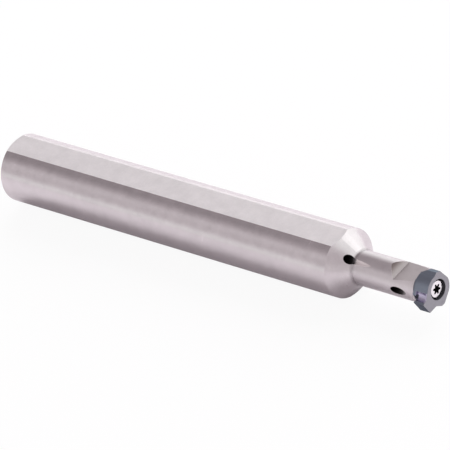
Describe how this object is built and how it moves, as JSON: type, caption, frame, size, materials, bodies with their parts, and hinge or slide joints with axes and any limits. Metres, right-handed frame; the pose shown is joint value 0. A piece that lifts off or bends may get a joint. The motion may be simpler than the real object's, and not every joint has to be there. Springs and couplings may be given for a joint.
{
  "type": "internal grooving toolholder",
  "caption": "Round-shank internal grooving toolholder with clamping flats, a slim neck, inclined coolant outlets and a screwed-on carbide grooving insert.",
  "frame": {"origin": "on the shank's axis, at its rear face, in the mouth of the coolant inlet", "axes": "+X along the tool's axis from the shank to the insert, +Z square to the top clamping flat, the tooth points to -Y"},
  "size_m": [0.128, 0.016, 0.0148],
  "materials": {
    "ground_steel": "satin ground and nickel plated steel, warm grey",
    "coated_carbide": "thin dark violet-grey coating on ground tungsten carbide",
    "bright_screw_steel": "bright steel screw"
  },
  "bodies": {
    "holder": {"toolholder": "ground_steel"},
    "insert": {"cutting_insert": "coated_carbide"},
    "screw": {"clamp_screw": "bright_screw_steel"}
  },
  "joints": [
    {"name": "screw_out", "type": "slide", "parent": "holder", "child": "screw", "axis": [1, 0, 0], "range_m": [0, 0.016]},
    {"name": "insert_off", "type": "slide", "parent": "holder", "child": "insert", "axis": [1, 0, 0], "range_m": [0, 0.008]}
  ],
  "couplings": [
    {"joint": "insert_off", "follows": "screw_out", "ratio": 0.5}
  ]
}
